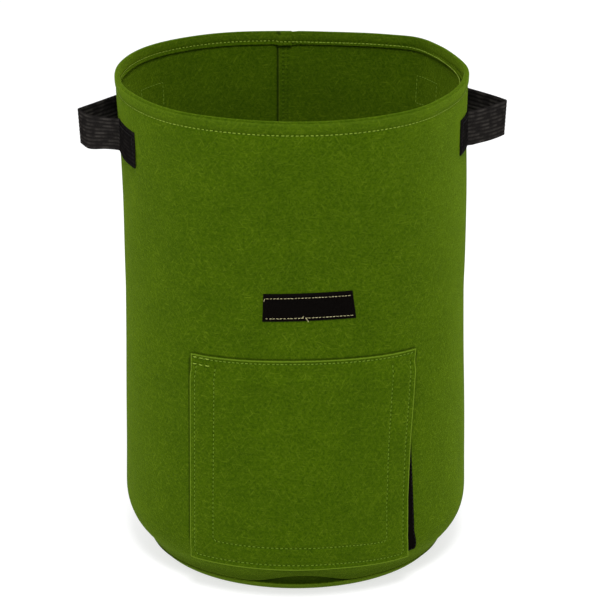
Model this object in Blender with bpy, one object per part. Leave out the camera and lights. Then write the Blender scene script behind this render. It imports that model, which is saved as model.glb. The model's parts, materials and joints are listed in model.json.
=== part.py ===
"""A round felt grow bag with a harvest window, its flap and two webbing handles.

Metres, +Z up. The origin is where the bag's axis meets the ground, the flap
faces -Y, and the handles stand out at -X and +X. A place on the bag's side is
given as an arc along the felt from the middle of the front, a height, and an
offset outwards from the felt's outer face.
"""
import math

import bmesh
import bpy
from mathutils import Vector

# Sheets, tapes and threads
FELT = 0.0020
TAPE = 0.0012
WEBBING = 0.0016
THREAD_RADIUS = 0.00035
GAP = 0.0003

# The bag's side
RIM_HEIGHT = 0.494
RIM_RADIUS = 0.175
HANDLE_RADIUS = 0.172
WAIST_RADIUS = 0.169
SHOULDER_RADIUS = 0.1735
SEAM_RADIUS = 0.150
FOLD_HEIGHT = 0.429
WAIST_HEIGHT = 0.276
SHOULDER_HEIGHT = 0.059
SEAM_HEIGHT = 0.014
SHOULDER_POWER = 1.6
PATTERN_RADIUS = 0.171
COLUMNS = 72
COLUMN_ARC = 2 * math.pi * PATTERN_RADIUS / COLUMNS
BACK_ARC = math.pi * PATTERN_RADIUS
WALL_HEIGHTS = (SEAM_HEIGHT, 0.023, 0.032, 0.041, 0.050, SHOULDER_HEIGHT, WAIST_HEIGHT, FOLD_HEIGHT)

# Hem, back seam and bottom seam
HEM_DEPTH = 0.023
HEM_STITCH_DEPTH = 0.016
LAP_LEFT = 0.009
LAP_RIGHT = 0.005
BACK_STITCHES = {"back_seam_thread_left": -0.0045, "back_seam_thread_right": 0.0005}
SEAM_ALLOWANCE = 0.0105
LIP_RADIUS = 0.151
LIP_HEIGHT = 0.0095

# Window, flap and its tapes
WINDOW_HALF_ARC = 0.088
WINDOW_BOTTOM = 0.062
WINDOW_TOP = 0.234
FLAP_HALF_ARC = 0.118
FLAP_BOTTOM = 0.032
FLAP_TOP = 0.250
HINGE_HEIGHT = 0.243
FLAP_STITCH_HEIGHT = 0.2465
FLAP_LEAVES_WALL = 0.240
FLAP_CLEARS_TAPES = 0.225
TAPE_WIDTH = 0.020
TAPE_INSET = 0.007
TAPE_TOP = 0.222
OUTER_ROW_INSET = 0.0078
INNER_ROW_INSET = 0.0262
HOOK_SLANT = 0.014
HOOK_ROW_INSET = 0.0015

# Roll keeper
KEEPER_CENTRE = 0.005
KEEPER_HALF_LENGTH = 0.045
KEEPER_BOTTOM = 0.291
KEEPER_TOP = 0.321
KEEPER_TILT = 0.035
KEEPER_ROW_INSET = 0.0025

# Handles, in degrees round from the front
STRAP_BOTTOM = 0.420
STRAP_TOP = 0.456
FRONT_END = (66.5, 80.4)
BACK_END = (118.4, 133.0)
FRONT_LIMB = ((80.8, 0.1744), (82.6, 0.1872), (86.4, 0.2030), (92.6, 0.2123))
BACK_LIMB = ((92.6, 0.2123), (98.4, 0.1995), (108.0, 0.1846), (118.0, 0.1744))
BOX_STITCH_INSET = 0.004

# The hinge line under the flap's sewn top margin, and the handles' own
FLAP_OUTER = GAP + FELT
STRAP_OUTER = GAP + WEBBING

COLOURS = {
    "felt": ((0.061, 0.117, 0.004), 0.95),
    "webbing": ((0.012, 0.011, 0.010), 0.80),
    "hook_tape": ((0.006, 0.005, 0.006), 0.90),
    "loop_tape": ((0.008, 0.007, 0.008), 0.95),
    "green_thread": ((0.180, 0.240, 0.050), 0.70),
    "tan_thread": ((0.330, 0.280, 0.120), 0.70),
    "black_thread": ((0.010, 0.009, 0.010), 0.70),
}


def clear_scene():
    """Remove whatever the file opened with."""
    for thing in list(bpy.data.objects):
        bpy.data.objects.remove(thing, do_unlink=True)


def material(name):
    """The named Principled material, made once."""
    found = bpy.data.materials.get(name)
    if found:
        return found
    colour, roughness = COLOURS[name]
    made = bpy.data.materials.new(name)
    made.use_nodes = True
    shader = made.node_tree.nodes["Principled BSDF"]
    shader.inputs["Base Color"].default_value = (*colour, 1.0)
    shader.inputs["Roughness"].default_value = roughness
    shader.inputs["Metallic"].default_value = 0.0
    made.diffuse_color = (*colour, 1.0)
    return made


def add_object(name, data, finish):
    """Link a mesh or curve as an object of one material."""
    thing = bpy.data.objects.new(name, data)
    bpy.context.scene.collection.objects.link(thing)
    data.materials.append(material(finish))
    return thing


def empty_at(name, place):
    """An empty on a joint's axis, for the pieces that turn about it."""
    pivot = bpy.data.objects.new(name, None)
    pivot.location = place
    bpy.context.scene.collection.objects.link(pivot)
    return pivot


def hang_on(thing, pivot):
    """Parent a piece to a pivot without moving it."""
    thing.parent = pivot
    thing.matrix_parent_inverse = pivot.matrix_basis.inverted()


def as_guide(thing):
    """Hide a shape that only cuts or joins others."""
    thing.hide_render = True
    thing.display_type = "WIRE"
    return thing


def face_outwards(bm):
    """Turn the faces of a closed shape to point out of it."""
    bmesh.ops.recalc_face_normals(bm, faces=bm.faces)
    if bm.calc_volume(signed=True) < 0:
        bmesh.ops.reverse_faces(bm, faces=bm.faces)


# ---------------------------------------------------------------- the side's shape

def wall_radius(z):
    """Outer radius of the felt side at a height."""
    if z < SHOULDER_HEIGHT:
        drop = (SHOULDER_HEIGHT - z) / (SHOULDER_HEIGHT - SEAM_HEIGHT)
        return SHOULDER_RADIUS - (SHOULDER_RADIUS - SEAM_RADIUS) * drop ** SHOULDER_POWER
    stations = (
        (SHOULDER_HEIGHT, SHOULDER_RADIUS),
        (WAIST_HEIGHT, WAIST_RADIUS),
        (FOLD_HEIGHT, HANDLE_RADIUS),
        (RIM_HEIGHT, RIM_RADIUS),
    )
    for (low, start), (high, end) in zip(stations, stations[1:]):
        if z <= high:
            return start + (end - start) * (z - low) / (high - low)
    return RIM_RADIUS


def polar(angle, radius, z):
    """A point at an angle round from -Y towards +X."""
    return Vector((radius * math.sin(angle), -radius * math.cos(angle), z))


def on_wall(arc, z, offset=0.0):
    """A point on the side, by arc, height and offset outwards."""
    return polar(arc / PATTERN_RADIUS, wall_radius(z) + offset, z)


def flap_offset(z):
    """How far the flap's inner face stands off the side."""
    closed = 3 * GAP + 2 * TAPE
    share = (FLAP_LEAVES_WALL - z) / (FLAP_LEAVES_WALL - FLAP_CLEARS_TAPES)
    return GAP + (closed - GAP) * min(1.0, max(0.0, share))


def knots(start, end, marks):
    """Start, the marks between, and end, in the order travelled."""
    low, high = sorted((start, end))
    inside = sorted(m for m in marks if low + 1e-6 < m < high - 1e-6)
    if start > end:
        inside.reverse()
    return [start, *inside, end]


def arc_marks():
    """The arcs of the facets' edges, right round and past the back."""
    return [i * COLUMN_ARC for i in range(-COLUMNS, COLUMNS + 1)]


def height_marks():
    """The heights where the side or the flap changes slope."""
    return [*WALL_HEIGHTS, FLAP_CLEARS_TAPES, FLAP_LEAVES_WALL]


# ---------------------------------------------------------------- sheets

def slab(columns, rows):
    """A flat grid, one unit thick, to be laid on the bag."""
    bm = bmesh.new()
    bmesh.ops.create_grid(bm, x_segments=columns, y_segments=rows, size=0.5)
    raised = bmesh.ops.extrude_face_region(bm, geom=list(bm.faces))["geom"]
    verts = [item for item in raised if isinstance(item, bmesh.types.BMVert)]
    bmesh.ops.translate(bm, verts=verts, vec=(0, 0, 1))
    return bm


def as_given(arc, z):
    """Leave a sheet square on the side."""
    return arc, z


def wall_sheet(name, arcs, heights, offset, thickness, finish, lean=as_given):
    """A sheet lying on the side between two arcs and two heights."""
    across = knots(*arcs, arc_marks())
    up = knots(*heights, height_marks())
    columns, rows = len(across) - 1, len(up) - 1
    bm = slab(columns, rows)
    for vert in bm.verts:
        i = round((vert.co.x + 0.5) * columns)
        j = round((vert.co.y + 0.5) * rows)
        arc, z = lean(across[i], up[j])
        rest = offset(z) if callable(offset) else offset
        vert.co = on_wall(arc, z, rest + thickness * vert.co.z)
    face_outwards(bm)
    mesh = bpy.data.meshes.new(name)
    bm.to_mesh(mesh)
    bm.free()
    return add_object(name, mesh, finish)


# ---------------------------------------------------------------- turned shapes

def turned(name, outline, finish):
    """Spin a closed outline of (radius, z) points about the bag's axis."""
    mesh = bpy.data.meshes.new(name)
    bm = bmesh.new()
    verts = [bm.verts.new((0.0, -radius, z)) for radius, z in outline]
    edges = [bm.edges.new((a, b)) for a, b in zip(verts, verts[1:] + verts[:1])]
    bmesh.ops.spin(bm, geom=verts + edges, cent=(0, 0, 0), axis=(0, 0, 1),
                   angle=2 * math.pi, steps=COLUMNS, use_merge=True)
    bmesh.ops.remove_doubles(bm, verts=bm.verts, dist=1e-6)
    loose = [edge for edge in bm.edges if not edge.link_faces]
    bmesh.ops.delete(bm, geom=loose, context="EDGES")
    face_outwards(bm)
    bm.to_mesh(mesh)
    bm.free()
    return add_object(name, mesh, finish)


def round_over(inner, outer, top, steps=4):
    """Half-round points from an outer radius over to an inner one."""
    middle, reach = (inner + outer) / 2, (outer - inner) / 2
    turns = [math.pi * i / steps for i in range(steps + 1)]
    return [(middle + reach * math.cos(t), top - reach + reach * math.sin(t)) for t in turns]


def wall_outline():
    """Section of the side: shoulder, bottom allowance, inner face and folded hem."""
    fold_outer = RIM_RADIUS
    fold_inner = RIM_RADIUS - 2 * FELT - GAP
    hem_bottom = RIM_HEIGHT - HEM_DEPTH
    hem_face = wall_radius(hem_bottom) - FELT - GAP
    gap_top = RIM_HEIGHT - FELT - GAP
    outer = [(wall_radius(z), z) for z in reversed(WALL_HEIGHTS)]
    inner = [(wall_radius(z) - FELT, z) for z in WALL_HEIGHTS[1:]]
    allowance_end = SEAM_RADIUS - SEAM_ALLOWANCE
    allowance_top = SEAM_HEIGHT + FELT
    allowance = [
        (allowance_end, SEAM_HEIGHT),
        (allowance_end, allowance_top),
        (wall_radius(allowance_top) - FELT, allowance_top),
    ]
    fold = [
        (RIM_RADIUS - FELT, gap_top),
        (RIM_RADIUS - FELT - GAP, gap_top),
        (hem_face, hem_bottom),
        (hem_face - FELT, hem_bottom),
    ]
    crown = round_over(fold_inner, fold_outer, RIM_HEIGHT)
    return [*outer, *allowance, *inner, *fold, *reversed(crown)]


def side_wall():
    """The felt side, with its hem, back lap and window opening."""
    wall = turned("side_wall", wall_outline(), "felt")
    overlap = 0.0004
    lap = wall_sheet("back_lap_guide", (BACK_ARC - LAP_RIGHT, BACK_ARC + LAP_LEFT),
                     (SEAM_HEIGHT + FELT + overlap, RIM_HEIGHT - HEM_DEPTH - GAP),
                     -2 * FELT, FELT + overlap, "felt")
    window = wall_sheet("window_guide", (-WINDOW_HALF_ARC, WINDOW_HALF_ARC),
                        (WINDOW_BOTTOM, WINDOW_TOP), -5 * FELT, 10 * FELT, "felt")
    for guide, operation in ((lap, "UNION"), (window, "DIFFERENCE")):
        as_guide(guide)
        cut = wall.modifiers.new(guide.name, "BOOLEAN")
        cut.object = guide
        cut.operation = operation
    return wall


def base_disc():
    """The round felt bottom, its edge turned up and in to meet the side."""
    top = SEAM_HEIGHT - GAP
    allowance_end = SEAM_RADIUS - SEAM_ALLOWANCE
    outline = [
        (allowance_end, top),
        (SEAM_RADIUS, top),
        (LIP_RADIUS, LIP_HEIGHT),
        (LIP_RADIUS - 0.0015, 0.005),
        (LIP_RADIUS - 0.0055, 0.0015),
        (LIP_RADIUS - 0.012, 0.0),
        (0.0, 0.0),
        (0.0, FELT),
        (LIP_RADIUS - 0.0124, FELT),
        (LIP_RADIUS - 0.0067, 0.0033),
        (LIP_RADIUS - 0.0034, 0.0062),
        (LIP_RADIUS - FELT, LIP_HEIGHT),
        (SEAM_RADIUS - FELT, top - FELT),
        (allowance_end, top - FELT),
    ]
    return turned("base_disc", outline, "felt")


# ---------------------------------------------------------------- threads

def thread(name, points, finish, closed=False):
    """One row of stitching, as a continuous thread through its points."""
    curve = bpy.data.curves.new(name, "CURVE")
    curve.dimensions = "3D"
    curve.bevel_depth = THREAD_RADIUS
    curve.bevel_resolution = 0
    curve.use_fill_caps = not closed
    spline = curve.splines.new("POLY")
    spline.points.add(len(points) - 1)
    for knot, point in zip(spline.points, points):
        knot.co = (*point, 1.0)
    spline.use_cyclic_u = closed
    return add_object(name, curve, finish)


def row_points(corners, offset, marks=None):
    """Points along straight runs between (arc, z) corners, on every facet edge."""
    marks = marks or height_marks()
    path = []
    for (arc0, z0), (arc1, z1) in zip(corners, corners[1:]):
        shares = {0.0, 1.0}
        if abs(arc1 - arc0) > 1e-6:
            shares.update((a - arc0) / (arc1 - arc0) for a in knots(arc0, arc1, arc_marks()))
        if abs(z1 - z0) > 1e-6:
            shares.update((z - z0) / (z1 - z0) for z in knots(z0, z1, marks))
        for share in sorted(shares):
            arc = arc0 + (arc1 - arc0) * share
            z = z0 + (z1 - z0) * share
            point = on_wall(arc, z, offset(z) if callable(offset) else offset)
            if not path or (point - path[-1]).length > 2 * THREAD_RADIUS:
                path.append(point)
    return path


def above(surface):
    """The offset of a thread's centre that lies on a surface."""
    return surface + GAP + THREAD_RADIUS


def ring(name, radius, z, finish):
    """A row of stitching right round the bag."""
    steps = [2 * math.pi * i / COLUMNS for i in range(COLUMNS)]
    return thread(name, [polar(a, radius, z) for a in steps], finish, closed=True)


def u_row(name, inset, surface, top, finish, slant=0.0):
    """A row down one side, along the bottom and up the other."""
    half, bottom = FLAP_HALF_ARC - inset, FLAP_BOTTOM + inset
    corner = 0.004
    lean = slant * (top - bottom) / (TAPE_TOP - FLAP_BOTTOM)
    corners = [
        (-half, top), (-half, bottom + corner), (-half + corner, bottom),
        (half + lean - corner, bottom), (half + lean, bottom + corner), (half, top),
    ]
    return thread(name, row_points(corners, surface), finish)


# ---------------------------------------------------------------- the window's parts

def hook_lean(arc, z):
    """The right-hand hook tape drifts outwards on its way down."""
    return arc + HOOK_SLANT * (TAPE_TOP - z) / (TAPE_TOP - FLAP_BOTTOM), z


def tape_arcs(side):
    """The two arcs of an upright tape's edges, on the left (-1) or right (1)."""
    outer = FLAP_HALF_ARC - TAPE_INSET
    return tuple(sorted((side * outer, side * (outer - TAPE_WIDTH))))


def tapes(prefix, offset, finish, lean=as_given):
    """The three tapes of one half of the closure: left, right and bottom."""
    low = FLAP_BOTTOM + TAPE_INSET
    corner = FLAP_HALF_ARC - TAPE_INSET - TAPE_WIDTH - GAP
    made = [
        wall_sheet(prefix + "_left", tape_arcs(-1), (low, TAPE_TOP), offset, TAPE, finish),
        wall_sheet(prefix + "_right", tape_arcs(1), (low, TAPE_TOP), offset, TAPE, finish, lean),
        wall_sheet(prefix + "_bottom", (-corner, corner), (low, low + TAPE_WIDTH),
                   offset, TAPE, finish),
    ]
    return made


def hook_side():
    """Hook tapes on the bag, and their stitching inside it."""
    tapes("hook_tape", GAP, "hook_tape", hook_lean)
    inside = -FELT - 2 * GAP - THREAD_RADIUS
    near = TAPE_INSET + HOOK_ROW_INSET
    far = TAPE_INSET + TAPE_WIDTH - HOOK_ROW_INSET
    for name, inset in (("hook_thread_outer", near), ("hook_thread_inner", far)):
        u_row(name, inset, inside, TAPE_TOP - HOOK_ROW_INSET, "black_thread", HOOK_SLANT)


def flap(pivot):
    """The moving flap, its loop tapes and its two rows of stitching."""
    arcs = (-FLAP_HALF_ARC, FLAP_HALF_ARC)
    body = wall_sheet("window_flap", arcs, (FLAP_BOTTOM, HINGE_HEIGHT - GAP),
                      flap_offset, FELT, "felt")
    loops = tapes("loop_tape", 2 * GAP + TAPE, "loop_tape")

    def outside(z):
        return above(flap_offset(z) + FELT)

    top = HINGE_HEIGHT - 0.006
    rows = [
        u_row("flap_outer_thread", OUTER_ROW_INSET, outside, top, "green_thread"),
        u_row("flap_inner_thread", INNER_ROW_INSET, outside, top, "green_thread"),
    ]
    for piece in (body, *loops, *rows):
        hang_on(piece, pivot)


def flap_margin():
    """The flap's top margin, sewn to the bag, with its row of stitching."""
    arcs = (-FLAP_HALF_ARC, FLAP_HALF_ARC)
    wall_sheet("flap_top_margin", arcs, (HINGE_HEIGHT, FLAP_TOP), GAP, FELT, "felt")
    half = FLAP_HALF_ARC - 0.003
    corners = [(-half, FLAP_STITCH_HEIGHT), (half, FLAP_STITCH_HEIGHT)]
    thread("flap_top_thread", row_points(corners, above(GAP + FELT)), "green_thread")


def keeper():
    """The strip above the window that holds the rolled-up flap."""
    def tilt(arc, z):
        return arc, z + KEEPER_TILT * (arc - KEEPER_CENTRE)

    left = KEEPER_CENTRE - KEEPER_HALF_LENGTH
    right = KEEPER_CENTRE + KEEPER_HALF_LENGTH
    wall_sheet("roll_keeper", (left, right), (KEEPER_BOTTOM, KEEPER_TOP),
               GAP, TAPE, "hook_tape", tilt)
    rows = {
        "keeper_thread_top": KEEPER_TOP - KEEPER_ROW_INSET,
        "keeper_thread_bottom": KEEPER_BOTTOM + KEEPER_ROW_INSET,
    }
    for name, z in rows.items():
        corners = [tilt(left + KEEPER_ROW_INSET, z), tilt(right - KEEPER_ROW_INSET, z)]
        thread(name, row_points(corners, above(GAP + TAPE)), "tan_thread")


# ---------------------------------------------------------------- handles

def sewn_end(name, side, degrees):
    """One end of a handle, flat on the side, with its box of stitching."""
    arcs = sorted(side * math.radians(d) * PATTERN_RADIUS for d in degrees)
    wall_sheet(name, arcs, (STRAP_BOTTOM, STRAP_TOP), GAP, WEBBING, "webbing")
    left, right = arcs[0] + BOX_STITCH_INSET, arcs[1] - BOX_STITCH_INSET
    low, high = STRAP_BOTTOM + BOX_STITCH_INSET, STRAP_TOP - BOX_STITCH_INSET
    corners = [(left, low), (right, low), (right, high), (left, high), (left, low)]
    path = row_points(corners, above(STRAP_OUTER))[:-1]
    thread(name + "_thread", path, "black_thread", closed=True)


def limb(stations, side, steps=7):
    """Smooth plan points through a limb's (degrees, radius) stations."""
    given = [polar(side * math.radians(d), r, 0.0) for d, r in stations]
    padded = [2 * given[0] - given[1], *given, 2 * given[-1] - given[-2]]
    path = []
    for a, b, c, d in zip(padded, padded[1:], padded[2:], padded[3:]):
        for i in range(steps):
            t = i / steps
            cubic = (2 * a - 5 * b + 4 * c - d) * t * t + (3 * b - a - 3 * c + d) * t ** 3
            path.append(0.5 * (2 * b + (c - a) * t + cubic))
    return [*path, given[-1]]


def loop_path(side):
    """The handle's loop seen from above, with its fold at the outermost point."""
    return [*limb(FRONT_LIMB, side)[:-1], *limb(BACK_LIMB, side)]


def handle_loop(name, side, pivot):
    """The free loop of a handle, standing on edge away from the bag."""
    path = loop_path(side)
    mesh = bpy.data.meshes.new(name)
    bm = bmesh.new()
    low = [bm.verts.new((p.x, p.y, STRAP_BOTTOM)) for p in path]
    edges = [bm.edges.new(pair) for pair in zip(low, low[1:])]
    drawn = bmesh.ops.extrude_edge_only(bm, edges=edges)
    raised = [v for v in drawn["geom"] if isinstance(v, bmesh.types.BMVert)]
    bmesh.ops.translate(bm, verts=raised, vec=(0, 0, STRAP_TOP - STRAP_BOTTOM))
    bmesh.ops.recalc_face_normals(bm, faces=bm.faces)
    bm.to_mesh(mesh)
    bm.free()
    loop = add_object(name, mesh, "webbing")
    solid = loop.modifiers.new("thickness", "SOLIDIFY")
    solid.thickness = WEBBING
    solid.offset = 0.0
    solid.use_even_offset = True
    hang_on(loop, pivot)


def handle(side, word):
    """One handle: two sewn ends and the loop between them."""
    sewn_end("handle_" + word + "_front_end", side, FRONT_END)
    sewn_end("handle_" + word + "_back_end", side, BACK_END)
    reach = wall_radius(STRAP_TOP) + STRAP_OUTER
    roots = [polar(side * math.radians(limb_[i][0]), reach, STRAP_TOP)
             for limb_, i in ((FRONT_LIMB, 0), (BACK_LIMB, -1))]
    pivot = empty_at("handle_" + word + "_pivot", (roots[0] + roots[1]) / 2)
    handle_loop("handle_" + word, side, pivot)


# ---------------------------------------------------------------- the whole bag

def seam_threads():
    """Rows of stitching at the hem, down the back and round the bottom."""
    hem_z = RIM_HEIGHT - HEM_STITCH_DEPTH
    ring("hem_thread_outer", wall_radius(hem_z) + GAP + THREAD_RADIUS, hem_z, "green_thread")
    inside = wall_radius(RIM_HEIGHT - HEM_DEPTH) - 2 * FELT - 2 * GAP - THREAD_RADIUS
    ring("hem_thread_inner", inside, hem_z, "green_thread")
    ring("base_seam_thread", SEAM_RADIUS - 0.6 * SEAM_ALLOWANCE,
         SEAM_HEIGHT + FELT + GAP + THREAD_RADIUS, "green_thread")
    low, high = SEAM_HEIGHT + FELT + 0.005, RIM_HEIGHT - HEM_DEPTH - 0.002
    for name, shift in BACK_STITCHES.items():
        arc = BACK_ARC - shift
        corners = [(arc, low), (arc, high)]
        thread(name, row_points(corners, -2 * FELT - GAP - THREAD_RADIUS), "green_thread")


def build():
    """Make every piece of the bag."""
    clear_scene()
    side_wall()
    base_disc()
    seam_threads()
    hook_side()
    flap_margin()
    hinge = on_wall(0.0, HINGE_HEIGHT, FLAP_OUTER)
    flap(empty_at("flap_pivot", hinge))
    keeper()
    handle(-1, "left")
    handle(1, "right")


build()
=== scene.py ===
"""Looks for the felt grow bag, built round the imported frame.

Metres, in the frame's own axes: +Z up, the window flap at -Y, handles at -X and +X.
A place on the bag's side is an arc along the felt from the middle of the front, a
height, and an offset outwards from the felt's outer face.
"""
import json
import math

import bmesh
import bpy
import numpy as np
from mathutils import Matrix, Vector


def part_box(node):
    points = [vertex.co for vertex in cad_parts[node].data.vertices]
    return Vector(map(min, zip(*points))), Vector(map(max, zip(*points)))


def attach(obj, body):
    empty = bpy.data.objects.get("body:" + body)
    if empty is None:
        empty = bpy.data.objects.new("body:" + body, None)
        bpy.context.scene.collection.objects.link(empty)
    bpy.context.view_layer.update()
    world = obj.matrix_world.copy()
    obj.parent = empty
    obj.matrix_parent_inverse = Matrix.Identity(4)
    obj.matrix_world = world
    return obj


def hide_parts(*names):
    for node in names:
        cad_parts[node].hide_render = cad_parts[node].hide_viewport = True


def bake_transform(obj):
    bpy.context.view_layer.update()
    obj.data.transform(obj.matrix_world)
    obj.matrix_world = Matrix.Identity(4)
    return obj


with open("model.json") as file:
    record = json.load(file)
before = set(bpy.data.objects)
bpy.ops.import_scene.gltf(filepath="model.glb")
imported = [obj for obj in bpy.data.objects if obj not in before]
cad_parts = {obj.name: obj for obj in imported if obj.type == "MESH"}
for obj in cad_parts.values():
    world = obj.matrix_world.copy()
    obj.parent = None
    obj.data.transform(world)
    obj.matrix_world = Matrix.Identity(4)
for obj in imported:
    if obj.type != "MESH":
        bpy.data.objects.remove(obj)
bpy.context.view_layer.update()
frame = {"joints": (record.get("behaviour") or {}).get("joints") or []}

RANDOM = np.random.default_rng(7)

# ------------------------------------------------------------------ sizes

FELT = 0.0020
TAPE = 0.0012
TAPE_BASE = 0.0005
WEBBING = 0.0016
GAP = 0.0003
THREAD = 0.00038
STITCH_PITCH = 0.0044

RIM_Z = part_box("side_wall")[1][2]
SEAM_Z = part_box("side_wall")[0][2] - 0.0023
RIM_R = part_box("side_wall")[1][1]
SEAM_R = 0.1505
SHOULDER_Z, SHOULDER_R = 0.059, 0.1735
WAIST_Z, WAIST_R = 0.276, 0.1693
FOLD_Z, FOLD_R = 0.429, 0.172
SHOULDER_POWER = 2.0
PATTERN_R = 0.171
BACK = math.pi * PATTERN_R
DEGREE = math.radians(1) * PATTERN_R

HEM_FRONT, HEM_BACK = 0.0136, 0.0100
HEM_ALLOWANCE = 0.0036
LAP_LEFT, LAP_RIGHT = 0.009, 0.005
ALLOWANCE = 0.0105

WINDOW_HALF = 29.5 * DEGREE
WINDOW_LOW, WINDOW_HIGH = 0.062, 0.234
FLAP_MID, FLAP_HALF = 0.0021, 0.1180
FLAP_LOW = 0.0380
FLAP_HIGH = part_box("flap_top_margin")[1][2]
HINGE_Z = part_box("flap_top_margin")[0][2]
FLAP_ROW_Z = (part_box("flap_top_thread")[0][2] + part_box("flap_top_thread")[1][2]) / 2
FLAP_OFF, FLAP_ON = 0.240, 0.225
BEND_LOW = 0.196
FLAP_STANDOFF = 3 * GAP + 2 * TAPE
TAPE_WIDTH = 0.020
OUTER_ROW, INNER_ROW = (0.0060, 0.0052), (0.0264, 0.0235)
HOOK_SLANT, HOOK_FOOT = 0.007, 0.0055

KEEPER_MID, KEEPER_HALF = 0.0062, 0.0472
KEEPER_LOW, KEEPER_HIGH, KEEPER_TILT = 0.2900, 0.3182, 0.013

STRAP_LOW, STRAP_HIGH = (corner[2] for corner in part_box("handle_left"))
STRAP_MID = (STRAP_LOW + STRAP_HIGH) / 2
STRAP_WIDE = STRAP_HIGH - STRAP_LOW
RIBS = 9

# ------------------------------------------------------------------ small helpers


def ease(share):
    """Smooth step from 0 to 1."""
    share = np.clip(share, 0.0, 1.0)
    return share * share * (3 - 2 * share)


def bump(x, width):
    """A bell of height 1."""
    return np.exp(-((x / width) ** 2))


def around(angle, stations):
    """Smooth closed curve through (degrees, value) stations, at angles in radians."""
    degrees = np.array([s[0] for s in stations], float)
    values = np.array([s[1] for s in stations], float)
    wide = np.concatenate([degrees - 360, degrees, degrees + 360])
    tall = np.tile(values, 3)
    slopes = np.gradient(tall, wide)
    at = (np.degrees(angle) + 180) % 360 - 180
    i = np.clip(np.searchsorted(wide, at) - 1, 0, len(wide) - 2)
    step = wide[i + 1] - wide[i]
    t = (at - wide[i]) / step
    return ((2 * t**3 - 3 * t**2 + 1) * tall[i] + (t**3 - 2 * t**2 + t) * step * slopes[i]
            + (3 * t**2 - 2 * t**3) * tall[i + 1] + (t**3 - t**2) * step * slopes[i + 1])


# ------------------------------------------------------------------ the side's shape

# How far the rim stands out from a true circle, in degrees and millimetres
RIM_OUT = ((-166, -7), (-149, -3), (-125, 2), (-89, 1), (-68, 3), (-38, 7), (-17, 4.5), (8, 5),
           (33, 4), (43, 2), (53, -2), (65, -5), (92, -4.5), (110, -4), (120, -1), (134, 4),
           (142, -2), (151, -6), (165, -9), (180, -8.5))
# How far the rim rises or sinks, in degrees and millimetres
RIM_UP = ((-160, -1.0), (-90, 0), (-30, -0.8), (20, -0.8), (90, 0), (134, 0.5), (165, -2), (180, -2.2))
RIM_REACH = 0.20
LEAN_FOOT = 0.0009


def profile(z):
    """Radius of the side's outer face before anything bends it."""
    total = 0.0
    for shift in (-0.008, -0.004, 0.0, 0.004, 0.008):
        at = z + shift
        drop = np.clip((SHOULDER_Z - at) / (SHOULDER_Z - SEAM_Z), 0, None)
        shoulder = SHOULDER_R - (SHOULDER_R - SEAM_R) * drop**SHOULDER_POWER
        stations = (SHOULDER_Z, WAIST_Z, FOLD_Z, RIM_Z)
        upper = np.interp(at, stations, (SHOULDER_R, WAIST_R, FOLD_R, RIM_R))
        total = total + np.where(at < SHOULDER_Z, shoulder, upper)
    return total / 5


def ripple(angle, z):
    """The slow unevenness of felt that stands up by itself."""
    wave = (0.45 * np.sin(2 * angle + 9 * z + 0.6) + 0.40 * np.sin(3 * angle - 14 * z + 2.1)
            + 0.28 * np.sin(5 * angle + 21 * z + 4.0) + 0.16 * np.sin(9 * angle - 33 * z)
            + 0.12 * np.sin(13 * angle + 47 * z + 1.3))
    return 0.001 * wave


def foot_roll(angle, z):
    """The soft fold round the foot, just above the seam."""
    return -0.0022 * bump(z - 0.021, 0.0085) + 0 * angle


def front_press(angle, z):
    """The front is flatter than a circle round the keeper and the flap's top."""
    across = np.clip(1 - (angle / math.radians(42))**2, 0, 1)**2
    return -0.0105 * across * ease((z - 0.08) / 0.14) * ease((0.475 - z) / 0.15)


def lean(z):
    """The foot stands a little to the right of the rim."""
    return LEAN_FOOT * np.clip(1 - z / WAIST_Z, 0, 1)


def skin(arc, z, offset=0.0):
    """Points on the side, by arc, height and offset outwards."""
    angle = arc / PATTERN_R
    high = ease((z - (RIM_Z - RIM_REACH)) / RIM_REACH)
    radius = profile(z) + 0.001 * around(angle, RIM_OUT) * high + offset
    # Felt under the flap and its tapes ripples less
    calm = 1 - 0.85 * ease((FLAP_HALF + 0.02 - np.abs(arc)) / 0.03) * ease((0.27 - z) / 0.03)
    radius = radius + ripple(angle, z) * calm * ease(z / 0.03) + foot_roll(angle, z)
    radius = radius + front_press(angle, z)
    up = 0.001 * around(angle, RIM_UP) * high
    return np.stack([radius * np.sin(angle) + lean(z), -radius * np.cos(angle), z + up], axis=-1)


def crease_z(angle):
    """Height of the bottom seam, which lifts at the front."""
    turned = (angle + math.pi) % (2 * math.pi) - math.pi
    lift = 0.5 + 0.5 * np.cos(np.clip((turned + 0.012) / math.radians(22), -1, 1) * math.pi)
    return SEAM_Z + 0.0120 * lift


def hem_z(arc):
    """Height of the hem's stitching, nearer the rim at the back than in front."""
    turned = np.abs((arc / PATTERN_R + math.pi) % (2 * math.pi) - math.pi)
    depth = HEM_FRONT + (HEM_BACK - HEM_FRONT) * ease((turned - 1.1) / 0.9)
    return RIM_Z - depth


# ------------------------------------------------------------------ meshes


FAR = 0.05


def place_object(name, data):
    """A new object in the scene."""
    thing = bpy.data.objects.new(name, data)
    bpy.context.scene.collection.objects.link(thing)
    return thing


def grid_quads(index):
    """The quads of a grid of vertex numbers."""
    return np.stack([index[:-1, :-1], index[:-1, 1:], index[1:, 1:], index[1:, :-1]], axis=-1)


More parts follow.
